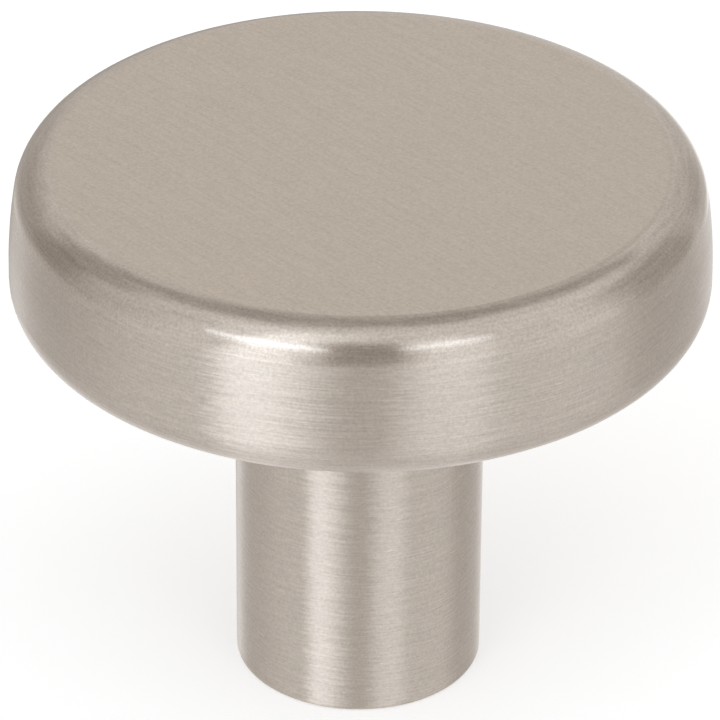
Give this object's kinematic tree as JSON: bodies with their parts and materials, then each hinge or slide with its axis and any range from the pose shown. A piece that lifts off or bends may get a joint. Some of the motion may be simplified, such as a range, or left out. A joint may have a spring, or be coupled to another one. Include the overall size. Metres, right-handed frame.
{
  "type": "cabinet knob",
  "caption": "Satin nickel cabinet knob: flat round head with soft edges on a straight round stem, tapped in the base for a machine screw.",
  "frame": {"origin": "centre of the stem's flat base, where the knob meets the door or drawer front", "axes": "+Z along the stem from the base to the head; X and Y are alike, because the knob is round"},
  "size_m": [0.032, 0.032, 0.0263],
  "materials": {
    "satin_nickel": "satin nickel plate, brushed"
  },
  "bodies": {
    "root": {"knob": "satin_nickel"}
  },
  "joints": []
}
